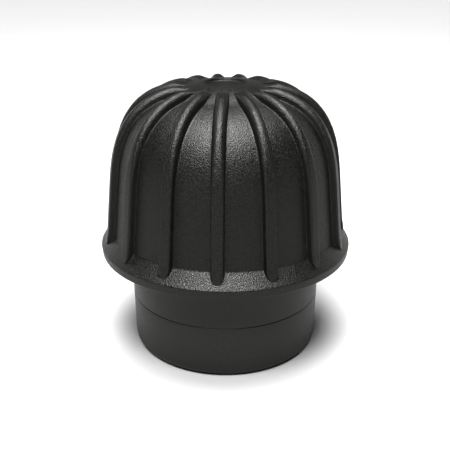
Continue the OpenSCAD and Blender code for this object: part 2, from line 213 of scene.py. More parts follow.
def turned(name, outline, segments=160, centre=(0.0, 0.0), sharp=35.0):
    """A solid of revolution about a vertical axis. An outline point of radius 0 is a pole."""
    angles = np.radians(np.arange(segments) * 360.0 / segments + FRONT)
    points, faces, rows = [], [], []
    for radius, z in outline:
        if abs(radius) < 1e-6:
            rows.append([len(points)])
            points.append((centre[0], centre[1], z))
        else:
            rows.append(list(range(len(points), len(points) + segments)))
            points += [(centre[0] + radius * cos(a), centre[1] + radius * sin(a), z)
                       for a in angles]
    for here, there in zip(rows, rows[1:] + rows[:1]):
        if len(here) == 1 and len(there) == 1:
            continue
        for k in range(segments):
            m = (k + 1) % segments
            if len(here) == 1:
                faces.append((here[0], there[m], there[k]))
            elif len(there) == 1:
                faces.append((here[k], here[m], there[0]))
            else:
                faces.append((here[k], here[m], there[m], there[k]))
    return facing_out(mesh_object(name, points, faces, sharp))


def extruded(name, outline, low_z, high_z, bevel=0.0):
    """A prism standing on an outline in the XY plane, its edges eased by bevel."""
    count = len(outline)
    points = [(x, y, low_z) for x, y in outline] + [(x, y, high_z) for x, y in outline]
    faces = [tuple(range(count))[::-1], tuple(range(count, 2 * count))]
    faces += [(i, (i + 1) % count, (i + 1) % count + count, i + count) for i in range(count)]
    obj = facing_out(mesh_object(name, points, faces))
    if bevel:
        ease(obj, bevel)
    return obj


def ease(obj, width, angle=40.0, segments=2):
    """Rounds the sharp edges of a mesh by width millimetres."""
    modifier = obj.modifiers.new("ease", "BEVEL")
    modifier.width = width * MM
    modifier.segments = segments
    modifier.limit_method = "ANGLE"
    modifier.angle_limit = radians(angle)
    modifier.harden_normals = False
    return apply_modifiers(obj)


def apply_modifiers(obj):
    """Replaces a mesh by what its modifiers make of it."""
    graph = bpy.context.evaluated_depsgraph_get()
    mesh = bpy.data.meshes.new_from_object(obj.evaluated_get(graph))
    obj.modifiers.clear()
    old = obj.data
    obj.data = mesh
    bpy.data.meshes.remove(old)
    return obj


def creased(obj, sharp=35.0):
    """Smooth shading with crisp edges, for a mesh put together from others."""
    obj.data.shade_smooth()
    obj.data.set_sharp_from_angle(angle=radians(sharp))
    return obj


def joined(name, objects):
    """One object from several."""
    bm = bmesh.new()
    for obj in objects:
        obj.data.transform(obj.matrix_world)
        bm.from_mesh(obj.data)
        bpy.data.objects.remove(obj)
    mesh = bpy.data.meshes.new(name)
    bm.to_mesh(mesh)
    bm.free()
    obj = bpy.data.objects.new(name, mesh)
    bpy.context.scene.collection.objects.link(obj)
    return obj


def combined(obj, other, operation):
    """obj after a UNION, DIFFERENCE or INTERSECT with other, which is used up."""
    modifier = obj.modifiers.new("combine", "BOOLEAN")
    modifier.object = other
    modifier.operation = operation
    modifier.solver = "MANIFOLD"
    apply_modifiers(obj)
    bpy.data.objects.remove(other)
    return creased(obj)


def around(count, radius=0.0, start=0.0):
    """Centres and directions of count places round the axis, the first towards the front."""
    for i in range(count):
        degrees = FRONT + start + 360.0 * i / count
        a = radians(degrees)
        yield radius * cos(a), radius * sin(a), degrees


def pin(radius, low_z, high_z, round_low=0.0, round_high=0.0, step=30.0):
    """Outline of a round pin, for turned()."""
    return rounded([(0, low_z), (radius, low_z, round_low), (radius, high_z, round_high),
                    (0, high_z)], step)


def band(inner, outer, low_z, high_z, rounding, step):
    """Outline of a flat ring with equally rounded edges, for turned()."""
    return rounded([(inner, low_z, rounding), (outer, low_z, rounding), (outer, high_z, rounding),
                    (inner, high_z, rounding)], step)


def subdivided(stretches, spacing):
    """Points along straight stretches, about spacing(start, end) apart, without the last one."""
    out = []
    for (r0, z0), (r1, z1) in stretches:
        steps = max(1, round(math.hypot(r1 - r0, z1 - z0) / spacing((r0, z0), (r1, z1))))
        out += [(r0 + (r1 - r0) * i / steps, z0 + (z1 - z0) * i / steps) for i in range(steps)]
    return out


def finished(obj, node, slot, body="root"):
    """Puts a piece on its body in place of its CAD node, with its finish."""
    obj.data.materials.clear()
    obj.data.materials.append(FINISHES[slot])
    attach(obj, body)
    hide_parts(node)
    return obj


# ---- dome cover

def rib_edge_r(z):
    """Radius of the ribs' straight outer edge, which flares a little at the foot."""
    flare = RIB_FLARE * smooth((SHOULDER + 2.5 - z) / 4)
    return WALL_R + RIB_H - DRAFT * (z - SHOULDER) + flare


def wall_r(z):
    """Radius of the straight wall."""
    return WALL_R - DRAFT * (z - SHOULDER)


def dome_point(base_r, top_z, power, u):
    """Point of a dome curve, u from 0 at the knee to 90 degrees on the axis."""
    z = KNEE + (top_z - KNEE) * sin(radians(u)) ** (2 / power)
    r = (base_r - DRAFT * (z - SHOULDER)) * max(cos(radians(u)), 0.0) ** (2 / power)
    return np.array((r, z))


def smooth(t):
    """Smooth step from 0 to 1."""
    t = min(max(t, 0.0), 1.0)
    return t * t * (3 - 2 * t)


def crowned(point):
    """Raises a point of a dome curve to the smooth crown, with a soft turn where they meet."""
    r, z = point
    if r > CROWN_REACH:
        return point
    crown = CROWN - max(0.0, r - CROWN_FLAT) ** 2 / (2 * CROWN_ROUND)
    return r, (z + crown + math.hypot(z - crown, CROWN_SOFT)) / 2


def rim_spacing(start, end):
    """Rows lie close together on the shoulder, where the ribs' feet are."""
    if end[1] <= RIM_HIGH:
        return 0.9
    return 0.16 if start[0] < RIM_R and end[0] > WALL_R - 0.2 else 1.4


def lower_rows():
    """Rows from the rim's underside to the knee, as meridian_outside() gives them."""
    rim = rounded([(RIM_IN, RIM_LOW), (RIM_R - 0.3, RIM_LOW, 0.55), (RIM_R, RIM_HIGH, 0.7),
                   (WALL_R, SHOULDER, 1.3), (wall_r(KNEE), KNEE)], step=9.0, closed=False)
    foot_r, foot_length, no_rib = WALL_R + RIB_H + RIB_FLARE + 0.3, 2.1, 0.6
    out = []
    for r, z in subdivided(zip(rim, rim[1:]), rim_spacing):
        edge = rib_edge_r(z)
        if z <= RIM_HIGH:
            out.append(((r, z), (r, z), 1.0, no_rib))
        elif r >= edge:
            beyond = max(0.0, r - foot_r)
            out.append(((r, z), (r, z), min(1.0, FOOT_SHARE + beyond / 1.2), no_rib))
        else:
            run = max(0.0, edge - r)
            share = math.sqrt(max(0.0, 1 - (1 - min(run / foot_length, 1.0)) ** 2))
            out.append(((r, z), (edge, z), max(share, FOOT_SHARE), RIB_ROUND_LOW))
    return out


def upper_rows():
    """Rows from the knee to the crown, and down into its shallow round recess."""
    steps, last_r = 60, 8.6
    out = []
    for i in range(steps):
        u = 90.0 * i / steps
        edge = dome_point(WALL_R + RIB_H, RIB_TOP, RIB_POWER, u)
        wall = dome_point(WALL_R, WALL_TOP, WALL_POWER, u)
        rounding = RIB_ROUND_LOW + (RIB_ROUND_HIGH - RIB_ROUND_LOW) * smooth(i / (0.45 * steps))
        if edge[0] > last_r:
            base = np.array(crowned(wall))
            grown = smooth((edge[0] - RIB_FROM) / RIB_RUN)
            out.append((tuple(base), tuple(base + (edge - base) * grown), 1.0, rounding))
    recess = CROWN - 0.9
    dimple = rounded([(8.2, CROWN), (7.2, CROWN, 0.2), (7.0, recess, 0.35), (0.9, recess)],
                     step=18.0, closed=False)
    return out + [((r, z), (r, z), 1.0, 0.6) for r, z in dimple]


def meridian_outside():
    """Rows of the dome's outside from the rim's underside to the crown.

    Each row holds the wall's point, the rib's point, the rib's width as a share, and the radius
    that rounds the rib's outer edges.
    """
    return lower_rows() + upper_rows()


def rib_section(height, rounding):
    """Half of a rib's section from its middle to the foot of its fillet, as (across, up)."""
    fillet = min(0.2, 0.3 * height)
    rounding = min(rounding, 0.85 * height)
    lean = 0.05
    foot = RIB_HALF + lean * height
    top = [(x * (RIB_HALF - rounding), height) for x in (0.0, 0.5)]
    shoulder = arc((RIB_HALF - rounding, height - rounding), rounding, 90, 4, 8)
    side = [(RIB_HALF + lean * 0.5 * (height - rounding), 0.5 * (height - rounding) + 0.5 * fillet)]
    root = [(foot + fillet - fillet * cos(a), fillet - fillet * sin(a))
            for a in np.radians(np.linspace(8, 90, 4))]
    return top + shoulder + side + root


def dome_row(row):
    """One ring of points of the dome's outside."""
    (br, bz), (er, ez), share, rounding = row
    groove_steps, no_height = 6, 0.02
    height = math.hypot(er - br, ez - bz)
    half = rib_section(max(height, no_height), rounding)
    half_angle = radians(SECTOR / 2)
    widest = half[-1][0]
    squeeze = min(share, 0.9 * br * sin(half_angle) / widest)
    side = []
    for across, up in half:
        t = up / height if height > no_height else 0.0
        r = br + (er - br) * t
        side.append((math.asin(min(0.99, across * squeeze / r)), r, bz + (ez - bz) * t))
    start = side[-1][0]
    for i in range(1, groove_steps + 1):
        side.append((start + (half_angle - start) * i / groove_steps, br, bz))
    ring = []
    for _, _, degrees in around(RIBS):
        middle = radians(degrees)
        ring += [(r * cos(middle - a), r * sin(middle - a), z)
                 for a, r, z in reversed(side[1:-1])]
        ring += [(r * cos(middle + a), r * sin(middle + a), z) for a, r, z in side]
    return ring


def cavity_outline():
    """Inside of the cover from the apex down to the rim, and the height of the apex."""
    base_r, top_z = WALL_R - DOME_WALL, WALL_TOP - DOME_WALL
    seat_r = base_r - DRAFT * (SEAT_Z - SHOULDER)
    curve = [tuple(dome_point(base_r, top_z, WALL_POWER, 90.0 * (1 - i / DOME_STEPS)))
             for i in range(1, DOME_STEPS + 1)]
    skirt = rounded([(seat_r, SEAT_Z + 2), (seat_r, SEAT_Z, 0.3), (WEB_R + 0.1, SEAT_Z, 0.15),
                     (WEB_R + 0.1, RIM_HIGH + 1.2, 0.2), (RIM_IN, RIM_HIGH, 0.3),
                     (RIM_IN, RIM_LOW + 0.3)], closed=False)
    return curve + skirt, top_z


def dome_shell():
    """The dome as one closed skin: ribs and rim outside, the cavity inside."""
    rings = [dome_row(row) for row in meridian_outside()]
    columns = len(rings[0])
    directions = [math.atan2(y, x) for x, y, _ in rings[0]]
    inside, apex = cavity_outline()
    crown_z = rings[-1][0][2]
    for r, z in reversed(inside):
        rings.insert(0, [(r * cos(a), r * sin(a), z) for a in directions])
    points = [p for ring in rings for p in ring]
    faces = grid_faces(len(rings), columns)
    points += [(0.0, 0.0, apex), (0.0, 0.0, crown_z)]
    apex_i, crown_i = len(points) - 2, len(points) - 1
    last = (len(rings) - 1) * columns
    for j in range(columns):
        k = (j + 1) % columns
        faces.append((apex_i, k, j))
        faces.append((crown_i, last + j, last + k))
    return facing_out(mesh_object("dome_shell", points, faces, 50.0))


def cover_bosses():
    """Screw bosses and the fins above them, as one solid that runs on into the dome's wall."""
    outline = pin(3.3, WEB_TOP + 0.05, WEB_TOP + 14.0, 0.3, 0.8)
    boss = posts("bosses", outline, COVER_SCREWS, COVER_PCR, segments=48)
    fin_in, fin_out, fin_low, fin_top = 24.4, 42.0, PLATE_TOP + 0.1, PLATE_TOP + 12.0
    fin = rounded([(fin_in, fin_low, 0.3), (fin_out, fin_low), (fin_out, fin_top),
                   (fin_in + 5.0, fin_top, 1.5), (fin_in, PLATE_TOP + 4.0, 1.0)])
    fins = []
    for _, _, degrees in around(COVER_SCREWS):
        slab = extruded("fin", fin, -1.0, 1.0, 0.25)
        slab.data.transform(Matrix.Rotation(radians(degrees), 4, "Z")
                            @ Matrix.Rotation(radians(90), 4, "X"))
        fins.append(slab)
    return combined(boss, joined("fins", fins), "UNION")


def trimmed_to_wall(obj):
    """Cuts bosses and fins back to the middle of the dome's wall and clear of the gasket."""
    base_r, top_z = WALL_R - DOME_WALL / 2 + 0.05, WALL_TOP - DOME_WALL / 2 + 0.05
    gasket_r, clear_z = 38.4, SEAT_Z + 0.5
    curve = [tuple(dome_point(base_r, top_z, WALL_POWER, 90.0 * i / DOME_STEPS))
             for i in range(DOME_STEPS)]
    outline = [(0, WEB_TOP), (gasket_r, WEB_TOP), (gasket_r, clear_z),
               (base_r - DRAFT * (clear_z - SHOULDER), clear_z)] + curve + [(0, top_z)]
    return combined(obj, turned("envelope", outline, 120), "INTERSECT")


def build_dome():
    """The cover with its ribs outside, and its screw bosses and fins inside."""
    dome = combined(dome_shell(), trimmed_to_wall(cover_bosses()), "UNION")
    hole = pin(BLIND_R, WEB_TOP - CUT, WEB_TOP + 13.5)
    dome = combined(dome, posts("holes", hole, COVER_SCREWS, COVER_PCR), "DIFFERENCE")
    dome.data.set_sharp_from_angle(angle=radians(50))
    finished(dome, "dome_cover", "dome_plastic", "cover")


# ---- wires, drills and posts

def capped(name, points, sides, sharp):
    """A solid from a stack of rings of points, closed by a face at each end."""
    faces = grid_faces(len(points) // sides, sides)
    faces += [tuple(range(sides))[::-1], tuple(range(len(points) - sides, len(points)))]
    return facing_out(mesh_object(name, points, faces, sharp))


def swept(name, path, radius, sides):
    """A round wire along a path of points, with rounded ends."""
    path = np.asarray(path, float)
    ahead = np.gradient(path, axis=0)
    ahead /= np.linalg.norm(ahead, axis=1)[:, None]
    across = np.cross(ahead, (0.0, 0.0, 1.0))
    across /= np.linalg.norm(across, axis=1)[:, None]
    above = np.cross(across, ahead)
    places = [(0, -1.0, 0.35), (0, -0.6, 0.8)] + [(i, 0.0, 1.0) for i in range(len(path))]
    places += [(len(path) - 1, 0.6, 0.8), (len(path) - 1, 1.0, 0.35)]
    turn = np.radians(np.arange(sides) * 360.0 / sides)
    points = []
    for i, beyond, share in places:
        centre = path[i] + ahead[i] * beyond * radius * 0.5
        spokes = np.cos(turn)[:, None] * across[i] + np.sin(turn)[:, None] * above[i]
        points += [tuple(p) for p in centre + radius * share * spokes]
    return capped(name, points, sides, 60.0)


def radial_drills(name, columns, rows, first_z, pitch, radius, from_r, to_r):
    """Cutters for rows of round holes through a tube, each row half a step round from the last."""
    sides = 20
    turn = np.radians(np.arange(sides) * 360.0 / sides)
    points, faces = [], []
    for row in range(rows):
        for _, _, degrees in around(columns, start=180.0 / columns * (row % 2)):
            a = radians(degrees)
            start = len(points)
            for r in (from_r, to_r):
                for t in turn:
                    side, up = radius * cos(t), radius * sin(t)
                    points.append((r * cos(a) - side * sin(a),
                                   r * sin(a) + side * cos(a), first_z + row * pitch + up))
            near = [start + i for i in range(sides)]
            far = [i + sides for i in near]
            faces += [(near[i], near[(i + 1) % sides], far[(i + 1) % sides], far[i])
                      for i in range(sides)]
            faces += [tuple(near[::-1]), tuple(far)]
    return facing_out(mesh_object(name, points, faces))


def posts(name, outline, count, pcr, start=0.0, segments=40):
    """Equal turned shapes on a circle, as one object."""
    return joined(name, [turned(name, outline, segments, (x, y))
                         for x, y, _ in around(count, pcr, start)])


# ---- collar

def groove(wall, depth_r, low_z, high_z):
    """Corners of a groove in the socket's wall, from its upper edge down."""
    return [(wall, high_z, 0.12), (depth_r, high_z, 0.2), (depth_r, low_z, 0.2),
            (wall, low_z, 0.12)]


def build_base_cup():
    """Base cup: floor, outer wall with its seal step, socket tube with two grooves, screw tubes."""
    socket_r, stop_r, stop_z, tube_r, step_z = 19.0, 16.5, 16.0, 22.4, 13.6
    screen_r, screen_z = 18.2, SEAM - 0.8
    outline = rounded([
        (socket_r + 1, 0), (FOOT_R - 0.02, 0, FOOT_ROUND), (COLLAR_R, SEAM, SEAM_EASE),
        (SPIGOT_R + 0.1, SEAM, 0.15), (SPIGOT_R + 0.1, step_z), (SPIGOT_IN, step_z, 0.2),
        (SPIGOT_IN, FLOOR, 1.0), (tube_r, FLOOR, 0.8), (tube_r, SEAM, 0.2), (screen_r, SEAM, 0.1),
        (screen_r, screen_z), (stop_r, screen_z, 0.15), (stop_r, stop_z, 0.3),
        (socket_r, stop_z, 0.2), *groove(socket_r, 20.9, 8.75, 11.25),
        *groove(socket_r, 20.6, 3.35, 5.25), (socket_r, 1.0, 0.3)], step=15.0)
    cup = turned("base_cup_shell", outline, 200)
    tube = pin(4.0, FLOOR / 2, SEAM - 0.3, 0.0, 0.2)
    head_z = 6.0
    bore = [(0, -CUT), (3.4, -CUT), (3.1, 0.3), (3.1, head_z), (1.7, head_z), (1.7, SEAM + CUT),
            (0, SEAM + CUT)]
    for name, shape, operation in (("tubes", tube, "UNION"), ("bores", bore, "DIFFERENCE")):
        cup = combined(cup, posts(name, shape, BASE_SCREWS, BASE_PCR, BASE_START), operation)
    cup = combined(cup, posts("marks", pin(1.6, -CUT, 0.12), 8, 26.4, 22.5), "DIFFERENCE")
    finished(cup, "base_cup", "collar_plastic")


def outlet_slots():
    """Cutters for the slots that let the air out between the collar and the rim."""
    inner_r, outer_r, half, steps = 34.45, 37.9, (SECTOR - 3) / 2, 6
    slots = []
    for _, _, degrees in around(RIBS, start=SECTOR / 2):
        inside = arc((0, 0), inner_r, degrees + half, degrees - half, steps)
        outside = arc((0, 0), outer_r, degrees - half, degrees + half, steps)
        corners = [(*p, 0.7 if i in (0, steps) else 0.0)
                   for line in (inside, outside) for i, p in enumerate(line)]
        slots.append(extruded("slot", rounded(corners, 30.0), WEB_LOW - 0.5, WEB_TOP + 0.5))
    return joined("slots", slots)


def build_body_ring():
    """Body ring: collar with its spigot, throat tube, slotted web, screw bosses and pads."""
    throat_r, throat_out, collar_in, seat_r, seat_z = 15.7, 17.9, 31.0, 14.55, WEB_TOP - 1.2
    ledge_r = seat_r - 0.95
    outline = rounded([
        (COLLAR_R, SEAM, SEAM_EASE), (COLLAR_R, WEB_LOW, 0.5), (WEB_R, WEB_LOW, 0.25),
        (WEB_R, WEB_TOP, 0.25), (seat_r, WEB_TOP, 0.15), (seat_r, seat_z), (ledge_r, seat_z, 0.1),
        (ledge_r, WEB_LOW, 0.3), (throat_r, WEB_LOW, 0.3), (throat_r, SEAM, 0.3),
        (throat_out, SEAM, 0.2), (throat_out, WEB_LOW, 0.8), (collar_in, WEB_LOW, 0.8),
        (collar_in, SEAM + 2, 0.3), (SPIGOT_IN, SEAM + 1.2, 0.3), (SPIGOT_IN, SPIGOT_LOW, 0.2),
        (SPIGOT_R, SPIGOT_LOW, 0.4), (SPIGOT_R, SEAM, 0.1)], step=15.0)
    pad = pin(2.9, WEB_LOW, WEB_TOP, 0.2, 0.2)
    boss = pin(4.0, SEAM, WEB_LOW + 1, 0.2)
    clear_hole = pin(1.7, WEB_LOW - CUT, WEB_TOP + CUT)
    blind_hole = pin(BLIND_R, SEAM - CUT, 28.1)
    body = turned("body_ring_shell", outline, 240)
    body = combined(body, outlet_slots(), "DIFFERENCE")
    cover, base = (COVER_SCREWS, COVER_PCR), (BASE_SCREWS, BASE_PCR, BASE_START)
    for shape, places, operation in (
            (pad, cover, "UNION"), (boss, base, "UNION"), (clear_hole, cover, "DIFFERENCE"),
            (blind_hole, base, "DIFFERENCE")):
        body = combined(body, posts("tool", shape, *places), operation)
    finished(body, "body_ring", "collar_plastic")


def build_inlet_screen():
    """Perforated disc at the end of the socket, its holes on a ring pattern."""
    lower, upper, edge = extent("inlet_screen")
    pitch, hole_r = 4.2, 1.5
    mouth = [(0, lower - CUT), (hole_r + 0.5, lower - CUT), (hole_r + 0.12, lower),
             (hole_r, lower + 0.15), (hole_r, upper + CUT), (0, upper + CUT)]
    drills = [posts("drill", mouth, max(6 * ring, 1), ring * pitch, 90.0, 24) for ring in range(4)]
    disc = turned("screen_disc", pin(edge, lower, upper, 0.12, 0.25), 120)
    disc = combined(disc, joined("drills", drills), "DIFFERENCE")
    finished(disc, "inlet_screen", "stainless_sheet")


def build_seals():
    """Gasket under the cover, seal in the collar's step, O-ring in the socket."""
    lower, upper, edge = extent("cover_gasket")
    gasket = turned("gasket", band(38.5, edge, lower, upper, 0.2, 20.0), 200)
    finished(gasket, "cover_gasket", "seal_rubber")
    lower, upper, edge = extent("base_seal")
    inner, crest, waist, middle = 30.3, 31.05, 0.12, (lower + upper) / 2
    lobes = [(inner, lower), (crest, lower + waist), (edge, lower), (edge - waist, middle),
             (edge, upper), (crest, upper - waist), (inner, upper), (inner + waist, middle)]
    seal = turned("lip_seal", rounded([(r, z, 0.3) for r, z in lobes], 20.0), 200)
    finished(seal, "base_seal", "seal_rubber")
    lower, upper, edge = extent("port_seal")
    cord = (upper - lower) / 2
    centre = (edge - cord, lower + cord)
    ring = arc(centre, cord, -86, 86, 12) + arc(centre, cord, 94, 266, 12)
    finished(turned("o_ring", ring, 180), "port_seal", "seal_rubber")


def build_retaining_ring():
    """Open wire ring in the socket's lower groove."""
    wire = (high("retaining_ring") - low("retaining_ring")) / 2
    radius, half_gap = 19.7, 15.5
    path = [(x, y, low("retaining_ring") + wire)
            for x, y in arc((0, 0), radius, 90 + half_gap, 450 - half_gap, 140)]
    ring = swept("snap_ring", path, wire, 18)
    finished(ring, "retaining_ring", "spring_steel")


# ---- screws

def screw(name, x, y, head_r, head_low, head_high, tip_z):
    """Pan-head socket screw with its head down and a coarse thread cut for plastic."""
    body = turned(name, pin(head_r, head_low, head_high, 0.55, 0.15, 15.0), 48, (x, y))
    key_r, key_depth = 1.25, 1.2
    hexagon = [(x + key_r * cos(radians(a)), y + key_r * sin(radians(a)))
               for a in range(0, 360, 60)]
    driver = extruded("driver", hexagon, head_low - CUT, head_low + key_depth)
    body = combined(body, driver, "DIFFERENCE")
    return combined(body, threaded(name + "_thread", x, y, head_high - 0.05, tip_z), "UNION")


def threaded(name, x, y, low_z, tip_z):
    """Threaded shank with a plain neck and a blunt tapered tip."""
    around_steps, per_pitch, depth, tip = 28, 8, 0.26, 1.4
    neck, run_out, steepness, blunt = 0.6, 0.5, 3.2, 0.55
    levels = np.arange(low_z, tip_z, THREAD_PITCH / per_pitch)
    points = []
    for z in levels:
        grown = smooth((z - low_z - neck) / run_out)
        size = SCREW_R * min(1.0, blunt + (1 - blunt) * (tip_z - z) / tip)
        for k in range(around_steps):
            phase = (z / THREAD_PITCH - k / around_steps) % 1.0
            ridge = max(0.0, 1 - abs(phase - 0.5) * steepness)
            r = size - depth * grown * (1 - ridge)
            a = 2 * math.pi * k / around_steps
            points.append((x + r * cos(a), y + r * sin(a), z))
    return capped(name, points, around_steps, 30.0)


def build_screws():
    """The screws that hold the dome, and those that hold the base cup."""
    head = 2.2
    for node, count, pcr, start, head_r in (
            ("cover_screws", COVER_SCREWS, COVER_PCR, 0.0, 2.6),
            ("base_screws", BASE_SCREWS, BASE_PCR, BASE_START, 2.75)):
        lower, upper = low(node), high(node)
        made = [screw("screw", x, y, head_r, lower, lower + head, upper)
                for x, y, _ in around(count, pcr, start)]
        screws = creased(joined(node + "_made", made), 30.0)
        finished(screws, node, "screw_steel")


# ---- cartridge

def at_rivets(name, outline, segments):
    """The same turned shape at each of the two rivets."""
    return [turned(name, outline, segments, (x, 0)) for x in (-RIVET_X, RIVET_X)]


def build_plates():
    """Pressed end plates of the cartridge."""
    inner, lower, lip = TUBE_R + 0.05, low("lower_plate"), high("lower_plate")
    outside_bend, inside_bend, lip_in = 1.2, 0.5, PLATE_R - 0.95
    outline = rounded([
        (inner, lower, 0.15), (PLATE_R, lower, outside_bend), (PLATE_R, lip, 0.3),
        (lip_in, lip, 0.3), (lip_in, lower + PLATE, inside_bend), (inner, lower + PLATE, 0.15)], 12.0)
    finished(turned("pan_lower", outline, 160), "lower_plate", "zinc_plate")
    port_r, lip = 9.0, low("upper_plate")
    outline = rounded([
        (port_r, PLATE_TOP, 0.35), (PLATE_R, PLATE_TOP, outside_bend), (PLATE_R, lip, 0.3),
        (lip_in, lip, 0.3), (lip_in, PACK_TOP, inside_bend), (port_r, PACK_TOP, 0.35)], 12.0)
    holes = joined("holes", at_rivets("hole", pin(RIVET_HOLE, PACK_TOP - CUT, PLATE_TOP + CUT), 32))
    pan = combined(turned("pan_upper", outline, 160), holes, "DIFFERENCE")
    finished(pan, "upper_plate", "zinc_plate")


def perforated(name, node, columns, rows, first_z, pitch, hole_r):
    """Tube of perforated sheet with rounded ends."""
    lower, upper, outer = extent(node)
    tube = turned(name, band(outer - SHEET, outer, lower, upper, 0.2, 30.0), 144)
    drills = radial_drills("drills", columns, rows, first_z, pitch, hole_r,
                           outer - SHEET - CUT, outer + CUT)
    tube = combined(tube, drills, "DIFFERENCE")
    finished(tube, node, "stainless_sheet")


def build_tubes():
    """The diffuser tube and the outer cage, each with its own pattern of holes."""
    first_z = PACK_LOW + (PACK_TOP - 0.1 - PACK_LOW) / 12
    perforated("diffuser", "diffuser_tube", 12, 6, first_z, 4.9, 1.6)
    perforated("cage", "outer_cage", 18, 5, 47.66, 4.52, 2.0)


def build_knit():
    """Sleeve of knitted wire: columns of loops that interlock from course to course."""
    inner = TUBE_R + 0.1
    lower, upper, outer = extent("knit_sleeve")
    wales, courses, per_wale, per_course = 30, 17, 10, 6
    depth, wire, lean, sway = 0.55, 0.1, 0.22, 0.11
    columns, rows = wales * per_wale, courses * per_course
    points = [(inner * cos(a), inner * sin(a), z) for z in (upper, lower)
              for a in 2 * np.pi * np.arange(columns) / columns]
    for i in range(rows + 1):
        v = i / per_course
        for j in range(columns):
            u = (j / per_wale) % 1.0 - 0.5
            leg = lean + sway * sin(2 * math.pi * v)
            loop = max(math.exp(-((u - leg) / wire) ** 2), math.exp(-((u + leg) / wire) ** 2))
            r = outer - depth + depth * loop * (0.8 + 0.2 * cos(2 * math.pi * v))
            a = 2 * math.pi * j / columns
            points.append((r * cos(a), r * sin(a), lower + (upper - lower) * i / rows))
    sleeve = mesh_object("knit", points, grid_faces(rows + 3, columns, wrap_rows=True), 60.0)
    finished(facing_out(sleeve), "knit_sleeve", "knitted_wire")


def build_felt():
    """Three felt rings, with soft edges and an uneven surface."""
    inner, outer, edge, nap = 18.5, 25.4, 0.8, 0.09
    for node in ("felt_ring_lower", "felt_ring_middle", "felt_ring_upper"):
        corners = band(inner, outer, low(node), high(node), edge, 18.0)
        outline = subdivided(zip(corners, corners[1:] + corners[:1]), lambda start, end: 0.6)
        ring = turned(node + "_wool", outline, 220, sharp=80.0)
        places = [(v.co.copy(), v.normal.copy()) for v in ring.data.vertices]
        for vertex, (co, normal) in zip(ring.data.vertices, places):
            wave = noise_value(co / MM * 0.6) + 0.5 * noise_value(co / MM * 1.7)
            vertex.co = co - normal * nap * MM * (1 + wave)
        finished(ring, node, "felt")


# ---- relief valve

def build_bridge():
    """Bent strap over the relief valve that holds its spring and guides its stem."""
    upper, foot = high("relief_bridge"), low("relief_bridge")
    half, foot_half, thick, foot_t, bend, half_width = 14.5, 21.5, 1.5, 1.2, 1.4, 4.0
    leg = [(half - foot_t, upper - thick, 0.6), (half - foot_t, foot, bend), (foot_half, foot, 0.2),
           (foot_half, foot + foot_t, 0.3), (half, foot + foot_t, 0.5), (half, upper, bend)]
    other = [(-x, z, rounding) for x, z, rounding in leg[::-1]]
    outline = rounded(other[3:] + leg + other[:3], 12.0)
    strap = extruded("strap", outline, -half_width, half_width)
    strap.data.transform(Matrix.Rotation(radians(90), 4, "X"))
    ease(strap, 0.18, 50.0)
    stem_hole = turned("hole", pin(1.56, upper - 3, upper + CUT), 40)
    foot_holes = at_rivets("hole", pin(RIVET_HOLE, foot - CUT, foot + 2), 32)
    holes = joined("holes", [stem_hole] + foot_holes)
    strap = combined(strap, holes, "DIFFERENCE")
    finished(strap, "relief_bridge", "stainless_sheet")


def build_rivets():
    """Blind rivets through the bridge's feet, domed above and set below."""
    lower, upper = low("bridge_rivets"), high("bridge_rivets")
    shank_r, head_r, head_z, set_r, set_round, dome_r = 1.5, 2.6, upper - 0.9, 1.7, 0.45, 1.3
    outline = [(0, lower)] + arc((set_r, lower + set_round), set_round, -90, 60, 5)
    outline += [(shank_r, PACK_TOP), (shank_r, head_z), (head_r, head_z), (head_r, upper - 0.7)]
    outline += arc((dome_r, upper - dome_r), dome_r, 35, 84, 6)
    outline += [(0.75, upper), (0.65, upper - 0.25), (0, upper - 0.25)]
    rivets = creased(joined("rivets", at_rivets("rivet", outline, 40)))
    finished(rivets, "bridge_rivets", "rivet_aluminium")


def build_spring():
    """Compression spring with closed ends."""
    lower, upper = low("relief_spring"), high("relief_spring")
    wire, radius, turns, dead, steps = 0.35, 5.2, 5.5, 0.75, 44
    flat = 2.1 * wire * dead
    height = upper - lower - 2 * wire
    path = []
    for i in range(int(turns * steps) + 1):
        t = i / steps
        if t < dead:
            rise = flat * t / dead
        elif t > turns - dead:
            rise = height - flat * (turns - t) / dead
        else:
            rise = flat + (height - 2 * flat) * (t - dead) / (turns - 2 * dead)
        a = 2 * math.pi * t
        path.append((radius * cos(a), radius * sin(a), lower + wire + rise))
    coil = swept("coil", path, wire, 10)
    spring = finished(coil, "relief_spring", "spring_steel")
    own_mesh(spring)


def build_poppet():
    """Turned brass valve: disc, spring seat and stem with a groove for the clip."""
    lower, upper, disc_r = extent("relief_poppet")
    clip_low, clip_high, _ = extent("relief_clip")
    stem_r, neck_r, hub_r = 1.5, 1.1, 4.25
    disc_z, hub_z = lower + 1.2, lower + 2.4
    outline = rounded([
        (0, lower), (6.0, lower), (6.2, lower + 0.12), (6.4, lower), (disc_r, lower, 0.15),
        (disc_r, disc_z, 0.3), (5.7, disc_z, 0.1), (5.5, disc_z - 0.1), (hub_r, disc_z - 0.1, 0.1),
        (hub_r - 0.6, hub_z, 0.2), (stem_r, hub_z, 0.3), (stem_r, clip_low, 0.05),
        (neck_r, clip_low, 0.05), (neck_r, clip_high, 0.05), (stem_r, clip_high, 0.05),
        (stem_r, upper, 0.35), (0, upper)], 15.0)
    poppet = turned("poppet", outline, 96)
    finished(poppet, "relief_poppet", "turned_brass", "relief")


def build_relief_seal():
    """Rubber face of the valve, with a lip that presses on the plate."""
    lower, upper, edge = extent("relief_seal")
    inner, face_z = 6.5, lower + 0.25
    outline = rounded([(inner, face_z, 0.2), (8.6, face_z, 0.1), (9.6, lower, 0.15),
                       (edge, lower + 0.2, 0.3), (edge, upper, 0.15), (inner, upper, 0.15)], 18.0)
    seal = turned("valve_seal", outline, 96)
    finished(seal, "relief_seal", "seal_rubber", "relief")


